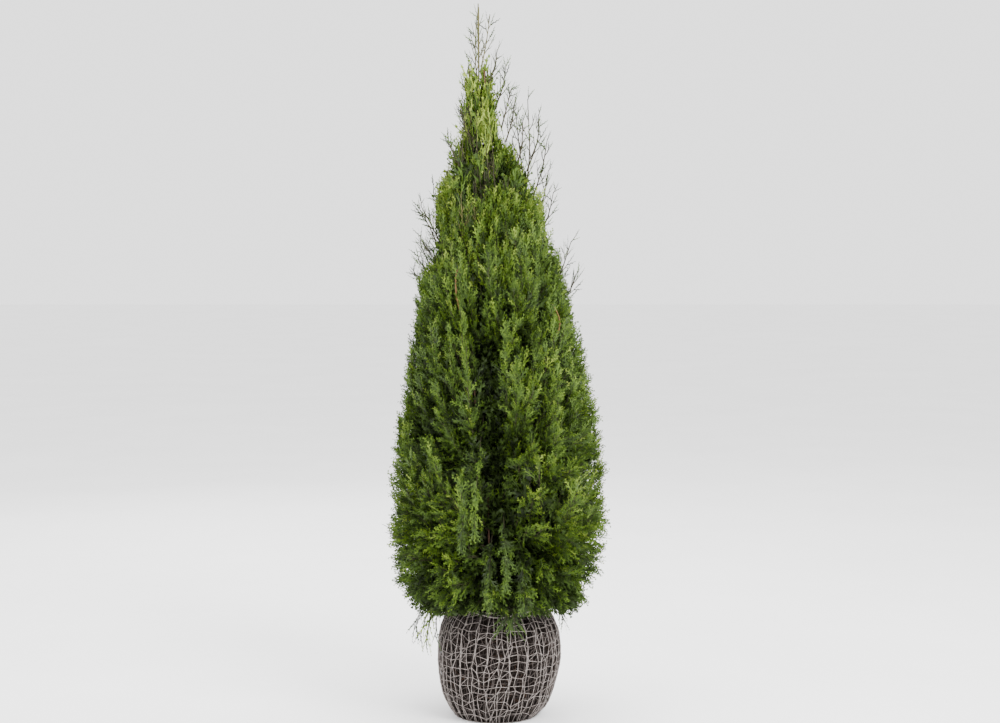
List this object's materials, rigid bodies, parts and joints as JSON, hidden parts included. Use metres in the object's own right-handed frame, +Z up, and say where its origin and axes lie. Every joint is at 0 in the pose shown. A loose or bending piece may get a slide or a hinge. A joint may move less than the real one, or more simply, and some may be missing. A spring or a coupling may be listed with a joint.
{
  "type": "root-balled thuja conifer",
  "caption": "Two-metre evergreen conifer with upright plumes of flat scale-leaf sprays tapering to a loose leader, standing on a netted root ball.",
  "frame": {"origin": "centre of the flat underside of the root ball, on the surface that it stands on", "axes": "+Z up, from the ball to the tip of the leader; -Y towards the front of the plant; +X to its right"},
  "size_m": [0.6296, 0.6146, 2.03],
  "materials": {
    "bark": "matte",
    "soil": "matte",
    "netting": "matte",
    "foliage_deep": "satin",
    "foliage_mid": "satin",
    "foliage_bright": "satin"
  },
  "bodies": {
    "root": {"trunk": "bark", "root_ball": "soil", "ball_net": "netting", "bough_skirt_1": "bark", "foliage_skirt_1": "foliage_deep", "bough_skirt_2": "bark", "foliage_skirt_2": "foliage_deep", "bough_skirt_3": "bark", "foliage_skirt_3": "foliage_deep", "bough_skirt_4": "bark", "foliage_skirt_4": "foliage_deep", "bough_skirt_5": "bark", "foliage_skirt_5": "foliage_deep", "bough_skirt_6": "bark", "foliage_skirt_6": "foliage_deep", "bough_middle_1": "bark", "foliage_middle_1": "foliage_mid", "bough_middle_2": "bark", "foliage_middle_2": "foliage_mid", "bough_middle_3": "bark", "foliage_middle_3": "foliage_mid", "bough_middle_4": "bark", "foliage_middle_4": "foliage_mid", "bough_middle_5": "bark", "foliage_middle_5": "foliage_mid", "bough_middle_6": "bark", "foliage_middle_6": "foliage_mid", "bough_upper_1": "bark", "foliage_upper_1": "foliage_mid", "bough_upper_2": "bark", "foliage_upper_2": "foliage_mid", "bough_upper_3": "bark", "foliage_upper_3": "foliage_mid", "bough_upper_4": "bark", "foliage_upper_4": "foliage_mid", "bough_upper_5": "bark", "foliage_upper_5": "foliage_mid", "bough_leader_1": "bark", "foliage_leader_1": "foliage_bright", "bough_leader_2": "bark", "foliage_leader_2": "foliage_bright", "bough_leader_3": "bark", "foliage_leader_3": "foliage_bright", "foliage_spire_1": "foliage_bright", "foliage_spire_2": "foliage_bright", "foliage_spire_3": "foliage_bright"}
  },
  "joints": []
}
